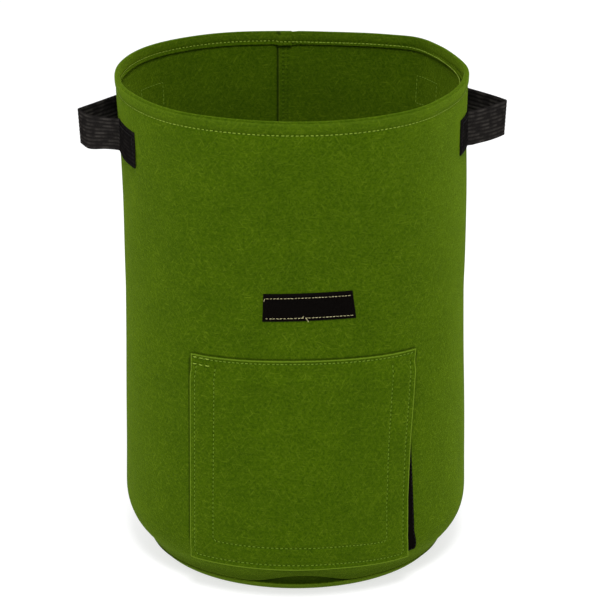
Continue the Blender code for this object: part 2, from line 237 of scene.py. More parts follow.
def closed_mesh(name, points, faces, flat=None, outwards=False):
    """A smooth closed mesh, with UVs in metres by vertex, and if asked with its faces turned out."""
    mesh = bpy.data.meshes.new(name)
    mesh.from_pydata(points, [], faces)
    layer = mesh.uv_layers.new(name="flat")
    if flat is not None:
        corners = np.empty(len(mesh.loops), int)
        mesh.loops.foreach_get("vertex_index", corners)
        layer.data.foreach_set("uv", flat[corners].reshape(-1).astype(np.float32))
    mesh.polygons.foreach_set("use_smooth", np.ones(len(mesh.polygons), bool))
    mesh.update()
    if outwards:
        bm = bmesh.new()
        bm.from_mesh(mesh)
        bmesh.ops.recalc_face_normals(bm, faces=bm.faces)
        bm.to_mesh(mesh)
        bm.free()
    return mesh


def row_map(arc, z, rows):
    """Run along the nearest row of stitches, in whole pitches, and distance from it."""
    nearest = np.full(np.shape(arc), FAR)
    place = np.zeros(np.shape(arc))
    for corners in rows:
        run, corners, count, pitch = along_corners(corners, STITCH_PITCH)
        for start, end, before in zip(corners, corners[1:], run):
            step = end - start
            length = math.hypot(*step)
            da, dz = arc - start[0], z - start[1]
            t = np.clip((da * step[0] + dz * step[1]) / length**2, 0, 1)
            away = np.hypot(da - t * step[0], dz - t * step[1])
            signed = away * np.where(step[0] * dz - step[1] * da < 0, -1, 1)
            closer = away < np.abs(nearest)
            nearest = np.where(closer, signed, nearest)
            place = np.where(closer, (before + t * length) / pitch * STITCH_PITCH, place)
    return np.stack([place, nearest], axis=-1)


def marks(shape, rows=None, cut=FAR, shade=0.0):
    """A felt sheet's marks: stitching, distance from a cut edge, and shade or light."""
    if rows is None:
        rows = np.stack([np.zeros(shape), np.full(shape, FAR)], axis=-1)
    cut, shade = np.broadcast_to(cut, shape), np.broadcast_to(shade, shape)
    return np.concatenate([rows, cut[..., None], shade[..., None]], axis=-1)


def grid_object(name, points, uvs, marked=None, skip=None, closed=False):
    """A sheet of quads through points[row, column], with UVs in metres."""
    rows, columns = points.shape[:2]
    mesh = bpy.data.meshes.new(name)
    index = np.arange(rows * columns).reshape(rows, columns)
    marked = marks((rows, columns)) if marked is None else marked
    uvs = np.concatenate([uvs, marked], axis=-1)
    if closed:
        index = np.concatenate([index, index[:, :1]], axis=1)
        uvs = np.concatenate([uvs, uvs[:, :1]], axis=1)
    quads = grid_quads(index)
    corner = np.stack([uvs[:-1, :-1], uvs[:-1, 1:], uvs[1:, 1:], uvs[1:, :-1]], axis=-2)
    keep = np.ones(quads.shape[:2], bool) if skip is None else ~skip
    quads, corner = quads[keep], corner[keep]
    used, quads = np.unique(quads, return_inverse=True)
    quads = quads.reshape(-1, 4)
    mesh.from_pydata(points.reshape(-1, 3)[used].tolist(), [], quads.tolist())
    for k, layer_name in enumerate(("flat", "rows", "edges")):
        layer = mesh.uv_layers.new(name=layer_name)
        part = corner[..., 2 * k:2 * k + 2]
        layer.data.foreach_set("uv", part.reshape(-1).astype(np.float32))
    mesh.polygons.foreach_set("use_smooth", np.ones(len(quads), bool))
    mesh.update()
    return place_object(name, mesh)


def solidify(thing, thickness):
    """Give a sheet its thickness, inwards, with crisp cut edges a little rounded."""
    solid = thing.modifiers.new("thickness", "SOLIDIFY")
    solid.thickness = thickness
    solid.offset = -1.0
    solid.use_even_offset = True
    solid.use_quality_normals = True
    edge = thing.modifiers.new("edges", "BEVEL")
    edge.width = 0.17 * thickness
    edge.segments = 2
    edge.limit_method = "ANGLE"
    edge.angle_limit = math.radians(62)
    edge.harden_normals = True
    return thing


def finish(thing, slot, material, *nodes):
    """Give a piece its finish, and hide the CAD nodes it stands for."""
    thing.data.materials.clear()
    thing.data.materials.append(material)
    if nodes:
        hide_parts(*nodes)
    return thing


# ------------------------------------------------------------------ materials


class Nodes:
    """A short way to wire a material's nodes."""

    def __init__(self, name):
        self.material = bpy.data.materials.new(name)
        self.material.use_nodes = True
        self.tree = self.material.node_tree
        self.shader = self.tree.nodes["Principled BSDF"]

    def add(self, kind, inputs=(), **settings):
        node = self.tree.nodes.new(kind)
        for key, value in settings.items():
            setattr(node, key, value)
        for key, value in dict(inputs).items():
            self.set(node, key, value)
        return node

    def set(self, node, key, value):
        socket = node.inputs[key]
        if isinstance(value, bpy.types.NodeSocket):
            self.tree.links.new(value, socket)
        else:
            socket.default_value = value

    def uv(self, scale, turn=0.0):
        """The flat UVs, turned and then scaled."""
        place = self.add("ShaderNodeUVMap", uv_map="flat").outputs["UV"]
        if turn:
            place = self.add("ShaderNodeMapping", {
                "Vector": place, "Rotation": (0, 0, math.radians(turn)),
            }).outputs["Vector"]
        return self.add("ShaderNodeMapping", {"Vector": place, "Scale": scale}).outputs["Vector"]

    def noise(self, vector, scale, detail=4.0, rough=0.6, distort=0.0):
        return self.add("ShaderNodeTexNoise", {
            "Vector": vector, "Scale": scale, "Detail": detail, "Roughness": rough,
            "Distortion": distort,
        }).outputs["Fac"]

    def ramp(self, factor, stops):
        node = self.add("ShaderNodeValToRGB", {"Fac": factor})
        while len(node.color_ramp.elements) < len(stops):
            node.color_ramp.elements.new(0.5)
        for element, (place, colour) in zip(node.color_ramp.elements, stops):
            element.position = place
            element.color = (*colour, 1.0)
        return node.outputs["Color"]

    def math(self, operation, a, b):
        return self.add("ShaderNodeMath", {0: a, 1: b}, operation=operation).outputs[0]

    def times(self, a, b):
        return self.math("MULTIPLY", a, b)

    def plus(self, a, b):
        return self.math("ADD", a, b)

    def mix(self, factor, a, b, blend="MIX"):
        node = self.add("ShaderNodeMix", {0: factor, 6: a, 7: b}, data_type="RGBA",
                        blend_type=blend)
        return node.outputs[2]

    def stain(self, base, where, strength, colour):
        """The base colour, turned towards another where a factor says."""
        return self.mix(self.times(where, strength), base, (*colour, 1))

    def fade(self, value, near, far):
        """1 at near or less, falling smoothly to 0 at far."""
        return self.add("ShaderNodeMapRange", {
            "Value": value, "From Min": near, "From Max": far, "To Min": 1.0, "To Max": 0.0,
        }, interpolation_type="SMOOTHSTEP").outputs["Result"]

    def bump(self, height, strength, distance):
        node = self.add("ShaderNodeBump", {
            "Height": height, "Strength": strength, "Distance": distance})
        return node.outputs["Normal"]

    def done(self, colour, roughness, normal=None, sheen=0.0, tint=(1, 1, 1), specular=0.2, ior=1.5):
        self.set(self.shader, "Base Color", colour)
        self.set(self.shader, "Roughness", roughness)
        self.set(self.shader, "Sheen Weight", sheen)
        self.set(self.shader, "Sheen Roughness", 0.45)
        self.set(self.shader, "Sheen Tint", (*tint, 1.0))
        self.set(self.shader, "Specular IOR Level", specular)
        self.set(self.shader, "IOR", ior)
        if normal is not None:
            self.set(self.shader, "Normal", normal)
        return self.material


# Cloth this dull has next to no glancing shine
DULL = 1.03


def fibre_streaks(nodes, scale, turns):
    """Short fibres lying a few ways, as a factor from 0 to 1."""
    total = None
    for turn in turns:
        place = nodes.uv((scale, scale * 8, 1), turn)
        field = nodes.noise(place, 1.0, 2.5, 0.55, 0.9)
        streak = nodes.fade(field, 0.72, 0.56)
        total = streak if total is None else nodes.math("MAXIMUM", total, streak)
    return total


def needle_marks(nodes):
    """Masks for painted shade in the needle holes along the rows of stitching, and in the valley that they
    lie in.
    """
    place = nodes.add("ShaderNodeUVMap", uv_map="rows").outputs["UV"]
    split = nodes.add("ShaderNodeSeparateXYZ", {"Vector": place})
    run = nodes.math("FRACT", nodes.math("DIVIDE", split.outputs["X"], STITCH_PITCH), 0.0)
    run = nodes.math("ABSOLUTE", nodes.math("SUBTRACT", run, 0.5), 0.0)
    run = nodes.times(nodes.math("SUBTRACT", 0.5, run), STITCH_PITCH)
    aside = nodes.math("ABSOLUTE", split.outputs["Y"], 0.0)
    reach = nodes.plus(nodes.math("POWER", run, 2.0), nodes.math("POWER", aside, 2.0))
    reach = nodes.math("SQRT", reach, 0.0)
    hole = nodes.fade(reach, 0.0003, 0.0012)
    return hole, nodes.fade(aside, 0.0003, 0.0019)


def painted_light_and_cut_edges(nodes):
    """Lighter fibres along a cut edge, partly painted highlight, a painted shadow line beside it, painted
    shade, and painted light.
    """
    place = nodes.add("ShaderNodeUVMap", uv_map="edges").outputs["UV"]
    split = nodes.add("ShaderNodeSeparateXYZ", {"Vector": place})
    beside, shade = split.outputs["X"], split.outputs["Y"]
    inside = nodes.fade(nodes.math("ABSOLUTE", beside, 0.0), 0.0007, 0.0015)
    pale_edge_and_painted_light = nodes.times(inside, nodes.math("LESS_THAN", beside, 0.0))
    # Painted shadow line just beside a cut edge
    dark = nodes.times(nodes.fade(beside, 0.0004, 0.0026),
                      nodes.math("GREATER_THAN", beside, 0.0))
    # Painted light where the shade channel is negative, painted shade where it is positive
    pale_edge_and_painted_light = nodes.plus(pale_edge_and_painted_light, nodes.math("MAXIMUM", nodes.times(shade, -1.0), 0.0))
    dark = nodes.plus(nodes.times(dark, 0.8), nodes.math("MAXIMUM", shade, 0.0))
    return nodes.math("MINIMUM", pale_edge_and_painted_light, 1.0), nodes.math("MINIMUM", dark, 1.0)


def felt_material():
    """Needle-punched moss-green felt."""
    n = Nodes("felt")
    plain = n.uv((1, 1, 1))
    blotch = n.noise(plain, 26.0, 3.0, 0.55)
    mottle = n.noise(plain, 330.0, 3.0, 0.6)
    fine = n.noise(plain, 900.0, 4.0, 0.7)
    light = fibre_streaks(n, 120, (4, 58, 127))
    dark = fibre_streaks(n, 135, (28, 94, 161))
    hole, groove_shade = needle_marks(n)
    pale_edge_and_painted_light, shade = painted_light_and_cut_edges(n)
    base = n.ramp(mottle, ((0.32, (0.019, 0.043, 0.0002)), (0.50, (0.027, 0.055, 0.0005)),
                           (0.68, (0.037, 0.069, 0.0009))))
    base = n.stain(base, dark, 0.62, (0.014, 0.034, 0.0002))
    base = n.stain(base, light, 0.62, (0.070, 0.111, 0.0046))
    tone = n.ramp(fine, ((0.3, (0.76, 0.79, 0.72)), (0.7, (1.22, 1.19, 1.3))))
    base = n.mix(1.0, base, tone, "MULTIPLY")
    patch = n.ramp(blotch, ((0.3, (0.88, 0.90, 0.88)), (0.7, (1.11, 1.08, 1.08))))
    base = n.mix(1.0, base, patch, "MULTIPLY")
    # Painted shade in the stitch rows' valleys and needle holes
    base = n.stain(base, groove_shade, 0.20, (0.020, 0.046, 0.0004))
    base = n.stain(base, hole, 0.65, (0.010, 0.022, 0.0003))
    # Lighter cut edges, partly the fibres' own colour and partly painted highlight, and painted light
    base = n.stain(base, pale_edge_and_painted_light, 0.60, (0.120, 0.185, 0.0150))
    # Painted shade and painted shadow lines
    base = n.stain(base, shade, 0.85, (0.006, 0.013, 0.0002))
    height = n.plus(n.times(mottle, 0.4), n.times(fine, 0.35))
    height = n.plus(height, n.times(n.math("SUBTRACT", light, dark), 0.35))
    height = n.math("SUBTRACT", height, n.times(hole, 1.2))
    normal = n.bump(height, 0.6, 0.0008)
    return n.done(base, 0.97, normal, 0.20, (0.50, 0.80, 0.03), 0.02)


def webbing_material():
    """Black ribbed webbing: warp ribs with weft across them, a painted highlight on the rib crests, and
    painted shade where it is sewn down in front.
    """
    n = Nodes("webbing")
    along = n.uv((1, 1, 1))
    warp = n.add("ShaderNodeTexWave", {"Vector": along, "Distortion": 0.6, "Detail": 1.0,
                                       "Scale": math.pi * RIBS / (10 * STRAP_WIDE)},
                 bands_direction="Y").outputs["Fac"]
    weft = n.add("ShaderNodeTexWave", {"Vector": along, "Scale": 210.0, "Distortion": 1.2,
                                       "Detail": 2.0}, bands_direction="X").outputs["Fac"]
    fluff = n.noise(along, 900.0, 4.0, 0.65)
    rib_light_patches = n.noise(along, 90.0, 2.0, 0.5)
    base = n.ramp(fluff, ((0.3, (0.0050, 0.0045, 0.0044)), (0.75, (0.0120, 0.0108, 0.0100))))
    # Painted highlight on the rib crests, in patches
    lit = n.times(warp, n.plus(n.times(weft, 0.6), 0.4))
    lit = n.times(lit, n.fade(rib_light_patches, 0.68, 0.35))
    base = n.stain(base, lit, 0.9, (0.040, 0.036, 0.032))
    split = n.add("ShaderNodeSeparateXYZ", {"Vector": along})
    # Painted shade on the front sewn-down end
    sewn = n.fade(split.outputs["X"], -0.0015, 0.0015)
    base = n.stain(base, sewn, 0.75, (0.0035, 0.0030, 0.0030))
    height = n.plus(weft, n.times(fluff, 0.6))
    height = n.plus(n.times(warp, 1.5), height)
    return n.done(base, 0.75, n.bump(height, 0.5, 0.0003), 0.0, (1, 1, 1), 0.02, DULL)


def tape_material(name, dark, light):
    """Black nylon closure tape."""
    n = Nodes(name)
    weave = n.noise(n.uv((1, 1, 1)), 1100.0, 3.0, 0.6)
    base = n.ramp(weave, ((0.3, dark), (0.75, light)))
    return n.done(base, 0.8, n.bump(weave, 0.4, 0.0003), 0.0, (1, 1, 1), 0.02, DULL)


def thread_material(name, dark, light):
    """Spun sewing thread, with its twist."""
    n = Nodes(name)
    place = n.add("ShaderNodeTexCoord").outputs["Object"]
    twist = n.add("ShaderNodeTexWave", {"Vector": place, "Scale": 900.0, "Distortion": 3.0},
                  bands_direction="DIAGONAL").outputs["Fac"]
    tone = n.noise(place, 160.0, 2.0, 0.5)
    base = n.mix(tone, (*dark, 1), (*light, 1))
    return n.done(base, 0.7, n.bump(twist, 0.5, 0.0002), 0.0, light, 0.05)


FINISHES = {
    "felt": felt_material(),
    "webbing": webbing_material(),
    "hook_tape": tape_material("hook_tape", (0.0014, 0.0011, 0.0010), (0.0046, 0.0038, 0.0034)),
    "loop_tape": tape_material("loop_tape", (0.0040, 0.0038, 0.0040), (0.0110, 0.0100, 0.0105)),
    "green_thread": thread_material("green_thread", (0.105, 0.170, 0.014), (0.225, 0.300, 0.040)),
    "dull_thread": thread_material("dull_thread", (0.075, 0.135, 0.008), (0.130, 0.195, 0.022)),
    "tan_thread": thread_material("tan_thread", (0.120, 0.105, 0.040), (0.520, 0.480, 0.280)),
    "black_thread": thread_material("black_thread", (0.004, 0.004, 0.004), (0.010, 0.009, 0.010)),
}

# ------------------------------------------------------------------ the felt side

COLUMN = 0.0039
FOLD = FELT + GAP / 2
LAP_STEP = FELT + GAP
NESTED = 0.0005


def steps(*stops):
    """Values through (value, spacing) stops, each spacing leading up to its value."""
    line = [stops[0][0]]
    for (start, _), (end, spacing) in zip(stops, stops[1:]):
        count = max(1, round(abs(end - start) / spacing))
        line.extend(start + (end - start) * (i + 1) / count for i in range(count))
    return np.array(line)


def side_arcs():
    """Where the side's columns stand, from its outer end round to its inner one."""
    return steps((-BACK - LAP_RIGHT, 0), (-BACK + 0.018, 0.0018), (-WINDOW_HALF, COLUMN),
                 (WINDOW_HALF, COLUMN), (BACK - 0.018, COLUMN), (BACK + LAP_LEFT, 0.0018))


def lap_inset(arc):
    """How far in the felt steps where it passes under its other end."""
    return LAP_STEP * ease((arc - (BACK - LAP_RIGHT - 0.009)) / 0.008)


def over_lap(arc):
    """1 where the felt lies over its other end, 0 elsewhere."""
    return ease((-BACK + LAP_LEFT + 0.005 - arc) / 0.006)


BACK_ROWS = {"left": -0.0045, "right": 0.0005}
BACK_ROW_LOW, BACK_ROW_HIGH = 0.022, RIM_Z - HEM_BACK - HEM_ALLOWANCE - 0.001


def side_detail(arc, z):
    """Stitch valleys and the fuller roll of the hem, on the outer face."""
    over = z - hem_z(arc)
    hem = 0.0006 * ease((over - 0.001) / 0.004)
    valley = -0.0009 * bump(over, 0.0021)
    rows = sum(bump(arc - np.sign(arc) * BACK + shift, 0.0014) for shift in BACK_ROWS.values())
    return hem + valley - 0.0004 * rows


def side_rows():
    """The rows of stitching that cross the side's felt."""
    arcs = np.linspace(-BACK, BACK, 73)
    hem = list(zip(arcs, hem_z(arcs)))
    rows = [hem]
    for shift in BACK_ROWS.values():
        for end in (-BACK, BACK):
            rows.append([(end - shift, BACK_ROW_LOW), (end - shift, BACK_ROW_HIGH)])
    return rows


def side_section(arcs):
    """The felt's outer face from its bottom allowance to its hem: points, and their z."""
    angle = arcs / PATTERN_R
    low = crease_z(angle)
    inset = lap_inset(arcs)
    radius = FOLD + (LAP_STEP - NESTED / 4) * over_lap(arcs)
    rows, heights = [], []

    def add(z, out, marked=True):
        rows.append(skin(arcs, z, out))
        heights.append(z if marked else 0 * arcs)

    # The allowance, turned in over the base, and the seam's edge
    for share in (0.0, 0.35, 0.7, 0.92):
        add(low + 0.0002, -ALLOWANCE * (1 - share) - inset - 0.0006, False)
    for lift, back in ((0.0001, 0.0002), (0.0009, 0.0001)):
        add(low + lift, -inset - back, False)
    # The foot, then the wall up to the hem's roll
    for share in steps((0.0, 0), (0.16, 0.05), (1.0, 0.07))[1:]:
        z = low + 0.0018 + (WINDOW_LOW - low - 0.0018) * share
        add(z, side_detail(arcs, z) - inset)
    levels = steps((WINDOW_LOW, 0), (WINDOW_HIGH, COLUMN), (0.468, COLUMN), (RIM_Z - FOLD, 0.0015))
    for level in levels[1:]:
        z = np.minimum(level + 0 * arcs, RIM_Z - radius)
        add(z, side_detail(arcs, z) - inset)
    # The roll over the rim, then the hem down its inner side
    crown = RIM_Z + NESTED * over_lap(arcs) - radius
    swell = side_detail(arcs, crown)
    for turn in np.linspace(0, math.pi, 8)[1:-1]:
        out = radius * math.cos(turn) - radius + swell * math.cos(turn)
        add(crown + radius * math.sin(turn), out - inset, False)
    sewn = hem_z(arcs)
    for share in np.linspace(0, 1, 15):
        z = crown + (sewn - HEM_ALLOWANCE - crown) * share
        pull = 0.0004 * bump(z - sewn, 0.0018) - 0.0003 * ease((z - sewn) / 0.004)
        add(z, pull - 2 * radius - inset)
    return np.array(rows), np.array(heights)


def path_uv(points, arcs):
    """UVs in metres: along the side, and along the felt from its first row."""
    lengths = np.linalg.norm(np.diff(points, axis=0), axis=2)
    along = np.concatenate([np.zeros((1, points.shape[1])), np.cumsum(lengths, axis=0)])
    return np.stack([np.broadcast_to(arcs, along.shape), along], axis=-1)


def side_marks(arcs, heights):
    """The side's marks: painted shadow beside the flap and the lap, painted shade over the foot, painted
    light along the rim's crown and the seam's edge, and a lighter band above the hem.
    """
    places = np.broadcast_to(arcs, heights.shape)
    # Distance beside the flap's cut edge, which places a painted shadow line there
    hidden = 0.0030 * ease((FLAP_HIGH + 0.002 - heights) / 0.012)
    beside = np.abs(row_map(places, heights, [flap_outline()])[..., 1])
    beside = np.maximum(beside - hidden, 0.0001)
    # The lap's cut edge shows only below the hem, which hides its top; there it gets a pale line and a
    # painted shadow beside it
    below_hem = heights < RIM_Z - 0.016
    past_lap = places + BACK - LAP_LEFT
    beside = np.where(below_hem & (np.abs(past_lap) < 0.006), np.abs(past_lap), beside)
    beside = np.where(below_hem & (places > BACK - 0.001), places - BACK - LAP_LEFT - 0.0005, beside)
    # Painted shade just over the seam, painted light on the seam's own edge and the rim's crown, and
    # painted shade on the turned-in allowance
    over = heights - crease_z(arcs / PATTERN_R)
    shade = 0.55 * ease(1 - over / 0.022) - 0.75 * ease(1 - over / 0.0022)
    rim = np.arange(len(heights))[:, None] - (len(heights) - 18.5)
    shade = np.where(heights > 0, shade, 0.6) - 0.6 * bump(rim, 3.0)
    # A lighter band above the hem's stitching
    shade = shade - 0.06 * ease((heights - hem_z(arcs)) / 0.004)
    # Painted shadow lines along the lap's cut edge, on both layers
    shade = shade + below_hem * (0.9 * bump(past_lap - 0.0008, 0.0015)
                                 + 0.6 * bump(places - BACK - LAP_LEFT, 0.0008))
    return marks(heights.shape, row_map(places, heights, side_rows()), beside, shade)


def side_wall():
    """The felt side: one strip, lapped at the back and folded over at the rim."""
    arcs = side_arcs()
    points, heights = side_section(arcs)
    middles = (arcs[:-1] + arcs[1:]) / 2
    wide = np.abs(middles)[None, :] < WINDOW_HALF
    low, high = heights[:-1, :-1], heights[1:, :-1]
    cut = wide & (low > WINDOW_LOW - 0.0002) & (high < WINDOW_HIGH + 0.0002) & (high > low)
    side = grid_object("felt_side", points, path_uv(points, arcs), side_marks(arcs, heights), skip=cut)
    return solidify(side, FELT)


# ------------------------------------------------------------------ the felt base


FLAT_R = 0.126
# The lip's section from the flat bottom up to the seam: radius and height
LIP = ((FLAT_R, 0.0), (0.1330, 0.0003), (0.1392, 0.0016), (0.1430, 0.0042), (0.1462, 0.0078),
       (0.1488, 0.0104))


def smooth_through(stations, count):
    """Points on a smooth curve through stations, each an array."""
    padded = [2 * stations[0] - stations[1], *stations, 2 * stations[-1] - stations[-2]]
    path = []
    for a, b, c, d in zip(padded, padded[1:], padded[2:], padded[3:]):
        for t in np.arange(count) / count:
            cubic = (2 * a - 5 * b + 4 * c - d) * t * t + (3 * b - a - 3 * c + d) * t**3
            path.append(0.5 * (2 * b + (c - a) * t + cubic))
    return [*path, stations[-1]]


def base():
    """The round felt bottom, turned up at its edge and in under the side's allowance."""
    angle = np.linspace(-math.pi, math.pi, 300, endpoint=False)
    z_crease = crease_z(angle) - GAP
    edge = skin(angle * PATTERN_R, z_crease)
    r_crease = np.hypot(edge[:, 0] - lean(z_crease), edge[:, 1]) - 0.0004
    lift = np.clip(z_crease - SEAM_Z, 0, None)
    stations = [np.array([r + 0 * angle, z + 0 * angle]) for r, z in LIP]
    stations.append(np.array([0.1490 - 0.25 * lift, 0.0113 + 0.10 * lift]))
    stations.append(np.array([r_crease - 0.0040 - 0.35 * lift, 0.0117 + 0.75 * lift]))
    outline = [np.array([FLAT_R * share + 0 * angle, 0 * angle]) for share in np.linspace(0, 1, 26)[:-1]]
    flat = len(outline)
    outline += smooth_through(stations, 4)
    outline += [np.array([r_crease - ALLOWANCE * share, z_crease]) for share in (0.6, 0.8, 1.0)]
    radii, heights = np.moveaxis(np.array(outline), 1, 0)
    points = np.stack([radii * np.sin(angle) + LEAN_FOOT, -radii * np.cos(angle), heights], axis=-1)
    lengths = np.linalg.norm(np.diff(points, axis=0), axis=2)
    run = np.concatenate([np.zeros((1, len(angle))), np.cumsum(lengths, axis=0)])
    uvs = np.stack([run * np.sin(angle), run * np.cos(angle)], axis=-1)
    # Painted light on the lip, and painted shade from the lip's top into the pocket under the seam
    row = np.arange(len(outline)) - flat
    lit = 0.30 * bump(row - 2 * len(LIP), 2 * len(LIP))
    shade = (ease((row - 4 * len(LIP) + 5) / 6) - lit)[:, None] + 0 * angle
    disc = grid_object("felt_base", points, uvs, marks(shade.shape, shade=shade), closed=True)
    bm = bmesh.new()
    bm.from_mesh(disc.data)
    bmesh.ops.remove_doubles(bm, verts=bm.verts, dist=0.0001)
    bm.to_mesh(disc.data)
    bm.free()
    return solidify(disc, FELT)


# ------------------------------------------------------------------ the flap

# How far the right edge is drawn in, by height
DRAW_IN = ((0.036, 0.0120), (0.060, 0.0150), (0.100, 0.0146), (0.125, 0.0130), (0.160, 0.0103),
           (0.200, 0.0061), (0.220, 0.0044), (0.252, 0.0))
FLAP_DROP = 0.0030
EDGE_STAND = 0.0012
HANG = 0.7


def flap_stand(arc, z):
    """How far the flap's inner face stands off: less at its left, more where it hangs free."""
    stand = GAP + (FLAP_STANDOFF - GAP) * ease((FLAP_OFF - z) / (FLAP_OFF - FLAP_ON))
    edge = ease((-arc - FLAP_HALF + 0.007) / 0.007)
    hang = HANG * np.where(z < SHOULDER_Z, SHOULDER_R - profile(z) - foot_roll(0, z), 0)
    return stand - np.minimum(stand - GAP, EDGE_STAND) * edge + hang


def flap_place(arc, z):
    """Where a point of the flap's cut lies: its lower right corner is drawn in and drops."""
    heights, reach = zip(*DRAW_IN)
    drop = FLAP_DROP * ease((arc - 0.02) / 0.09) * ease((0.16 - z) / 0.12)
    return arc + FLAP_MID - np.interp(z, heights, reach) * ease(arc / FLAP_HALF), z - drop


def flap_outline():
    """The cut edge of the flap as it lies on the side: down the left, along, and up."""
    down = np.linspace(FLAP_HIGH, FLAP_LOW, 12)
    across = np.linspace(-FLAP_HALF, FLAP_HALF, 14)
    arcs = np.concatenate([0 * down - FLAP_HALF, across, 0 * down + FLAP_HALF, across[::-1]])
    heights = np.concatenate([down, 0 * across + FLAP_LOW, down[::-1], 0 * across + FLAP_HIGH])
    corners = np.stack(flap_place(arcs, heights), axis=-1)
    apart = np.linalg.norm(np.diff(corners, axis=0), axis=1) > 1e-6
    return corners[np.concatenate([[True], apart])]


def u_corners(insets, top):
    """Corners of a row inside the flap's free edges, (side, foot) insets in."""
    half, foot, corner = FLAP_HALF - insets[0], FLAP_LOW + insets[1], 0.003
    return [(-half, top), (-half, foot + corner), (-half + corner, foot), (half - corner, foot),
            (half, foot + corner), (half, top)]


def flap_rows():
    """Every row of stitching on the flap, in its own flat measure."""
    half = FLAP_HALF - 0.003
    top = HINGE_Z - 0.004
    return {
        "outer": u_corners(OUTER_ROW, top),
        "inner": u_corners(INNER_ROW, top),
        "top": [(-half, FLAP_ROW_Z), (half, FLAP_ROW_Z)],
    }


def flap_relief(arc, z):
    """Valleys under the stitching, and the plain felt's softer middle."""
    row = bump(row_map(arc, z, flap_rows().values())[..., 1], 0.0019)
    inside = ease((FLAP_HALF - INNER_ROW[0] - np.abs(arc)) / 0.02)
    inside = inside * ease((z - FLAP_LOW - INNER_ROW[1]) / 0.02)
    belly = -0.0008 * inside * ease((FLAP_OFF - z) / 0.03)
    foot = 0.0006 * ease((FLAP_LOW + 0.006 - z) / 0.006)
    return belly + foot - 0.0006 * row


def flap_surface(arc, z, depth=0.0):
    """Points on the flap: its outer face, or that far under it."""
    out = flap_stand(arc, z) + FELT - depth + flap_relief(arc, z)
    arc, z = flap_place(arc, z)
    return skin(arc, z, out)


def flap():
    """The window's flap, cut in one piece with its sewn top margin."""
    arcs = steps((-FLAP_HALF, 0), (0.003 - FLAP_HALF, 0.0006), (0.03 - FLAP_HALF, 0.0012),
                 (FLAP_HALF - 0.034, 0.0030), (FLAP_HALF - 0.003, 0.0012), (FLAP_HALF, 0.0006))
    heights = steps((FLAP_LOW, 0), (FLAP_LOW + 0.003, 0.0006), (FLAP_LOW + 0.028, 0.0012),
                    (BEND_LOW, 0.0030), (FLAP_HIGH, 0.0010))
    arc, z = np.meshgrid(arcs, heights)
    inside = np.minimum(np.minimum(FLAP_HALF - np.abs(arc), z - FLAP_LOW), FLAP_HIGH - z)
    # Inside the free edges, the cut-edge channel gives a pale line, partly painted highlight
    marked = marks(arc.shape, row_map(arc, z, flap_rows().values()), -inside)
    uvs = np.stack([arc + 0.7, z + 0.3], axis=-1)
    panel = grid_object("felt_flap", flap_surface(arc, z), uvs, marked)
    return solidify(panel, FELT)


# ------------------------------------------------------------------ tapes


def box_of_sheet(name, outer, inner, uvs):
    """A thin closed slab between an outer and an inner grid of points."""
    rows, columns = outer.shape[:2]
    index = np.arange(rows * columns).reshape(rows, columns)
    under = index + rows * columns
    ring = np.array([*index[0, :], *index[1:, -1], *index[-1, -2::-1], *index[-2:0:-1, 0]])
    lower = ring + rows * columns
    sides = np.stack([ring, lower, np.roll(lower, -1), np.roll(ring, -1)], axis=-1)
    faces = np.concatenate([
        grid_quads(index).reshape(-1, 4), grid_quads(under).reshape(-1, 4)[:, ::-1], sides])
    places = np.concatenate([outer.reshape(-1, 3), inner.reshape(-1, 3)])
    flat = np.tile(uvs.reshape(-1, 2), (2, 1))
    mesh = closed_mesh(name, places.tolist(), faces.tolist(), flat)
    mesh.set_sharp_from_angle(angle=math.radians(50))
    return place_object(name, mesh)


def join(name, things):
    """Several meshes as one object, each staying its own closed body."""
    bm = bmesh.new()
    layer = bm.loops.layers.uv.new("flat")
    for thing in things:
        bm.from_mesh(thing.data)
    mesh = bpy.data.meshes.new(name)
    bm.to_mesh(mesh)
    bm.free()
    for thing in things:
        bpy.data.objects.remove(thing)
    return place_object(name, mesh)


def prongs(name, feet, out, lean, height, width):
    """Small bent hooks or loops standing on a tape, one closed body each."""
    count = len(feet)
    side = np.cross(out, lean)
    # Each ring's height, lean and thickness, as shares
    levels = ((0.0, 0.0, 1.0), (0.55, 0.10, 0.9), (0.95, 0.45, 0.8), (0.80, 0.95, 0.55))
    rings = []
    for up, over, thick in levels:
        centre = feet + out * (height * up)[:, None] + lean * (height * over)[:, None]
        for k in range(4):
            turn = math.pi / 2 * k
            reach = side * math.cos(turn) + lean * math.sin(turn)
            rings.append(centre + reach * (width * thick / 2)[:, None])
    places = np.stack(rings, axis=1)
    faces = []
    for level in range(len(levels) - 1):
        for k in range(4):
            a, b = level * 4 + k, level * 4 + (k + 1) % 4
            faces.append((a, a + 4, b + 4, b))
    top = (len(levels) - 1) * 4
    faces.append((0, 1, 2, 3))
    faces.append((top + 3, top + 2, top + 1, top))
    per = len(levels) * 4
    faces = np.array(faces)[None] + (np.arange(count) * per)[:, None, None]
    mesh = closed_mesh(name, places.reshape(-1, 3).tolist(), faces.reshape(-1, 4).tolist())
    return place_object(name, mesh)


